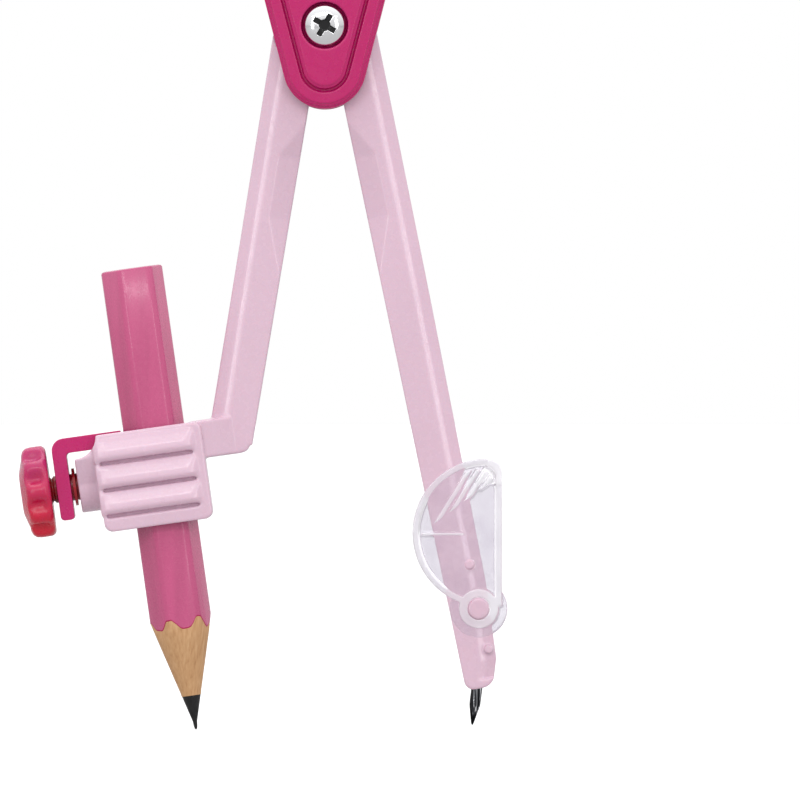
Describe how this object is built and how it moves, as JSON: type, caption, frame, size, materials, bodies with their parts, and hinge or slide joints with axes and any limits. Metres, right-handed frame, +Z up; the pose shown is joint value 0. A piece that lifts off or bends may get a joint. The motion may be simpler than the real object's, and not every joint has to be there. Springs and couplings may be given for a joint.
{
  "type": "drawing compass",
  "caption": "Open drawing compass with a flat two-legged stance, a clamped hexagonal pencil on one leg and a needle with a flip-over clear cover on the other.",
  "frame": {"origin": "on the paper plane, under the middle of the open compass's bounding box", "axes": "+Z up from the paper along the grip, +X across the open legs from the pencil to the needle, +Y from the front, with the screw head, to the back"},
  "size_m": [0.0612, 0.012, 0.1299],
  "materials": {
    "pale_pink": "glossy",
    "magenta": "glossy",
    "knob_red": "glossy",
    "clear_plastic": "clear, polished",
    "bright_steel": "polished",
    "steel": "plain",
    "brass": "plain",
    "nylon": "plain",
    "pencil_paint": "glossy lacquer on wood",
    "pencil_wood": "sharpened, bare",
    "graphite": "dark, slightly shiny graphite"
  },
  "bodies": {
    "head": {"head_front_cover": "magenta", "head_rear_cover": "magenta", "hinge_screw": "bright_steel", "hinge_nut": "steel", "hinge_bush": "brass", "front_friction_washer": "nylon", "middle_friction_washer": "nylon", "rear_spring_washer": "steel", "head_spacer": "magenta", "grip_stem": "steel", "grip_sleeve": "magenta", "grip_cap": "magenta"},
    "pencil_arm": {"pencil_leg": "pale_pink", "threaded_insert": "brass"},
    "clamp_jaw": {"clamp_bracket": "magenta"},
    "clamp_knob": {"clamp_knob": "knob_red", "clamp_screw": "knob_red", "retaining_clip": "knob_red"},
    "pencil": {"pencil_lead": "graphite", "pencil_wood": "pencil_wood", "pencil_lacquer": "pencil_paint"},
    "needle_arm": {"needle_leg": "pale_pink", "needle": "bright_steel"},
    "needle_guard": {"needle_cover": "clear_plastic"}
  },
  "joints": [
    {"name": "pencil_leg_hinge", "type": "hinge", "parent": "head", "child": "pencil_arm", "pos_m": [0.00774, 0, 0.08791], "axis": [0, 1, 0], "range_deg": [-9.5, 40.5]},
    {"name": "needle_leg_hinge", "type": "hinge", "parent": "head", "child": "needle_arm", "pos_m": [0.00774, 0, 0.08791], "axis": [0, 1, 0], "range_deg": [-38.2, 11.8]},
    {"name": "needle_cover_hinge", "type": "hinge", "parent": "needle_arm", "child": "needle_guard", "pos_m": [0.02696, 0, 0.0151], "axis": [0, 1, 0], "range_deg": [0, 180]},
    {"name": "clamp_travel", "type": "slide", "parent": "pencil_arm", "child": "clamp_jaw", "axis": [0.9903, 0, 0.1392], "range_m": [-0.0014, 0]},
    {"name": "clamp_knob_turn", "type": "hinge", "parent": "clamp_jaw", "child": "clamp_knob", "pos_m": [-0.02272, 0, 0.03042], "axis": [0.9903, 0, 0.1392], "range_deg": [-720.1, 0]},
    {"name": "pencil_slide", "type": "slide", "parent": "pencil_arm", "child": "pencil", "axis": [-0.1392, 0, 0.9903], "range_m": [-0.006, 0.014]}
  ],
  "couplings": [
    {"joint": "clamp_knob_turn", "follows": "clamp_travel", "rad_per_m": 8976}
  ]
}
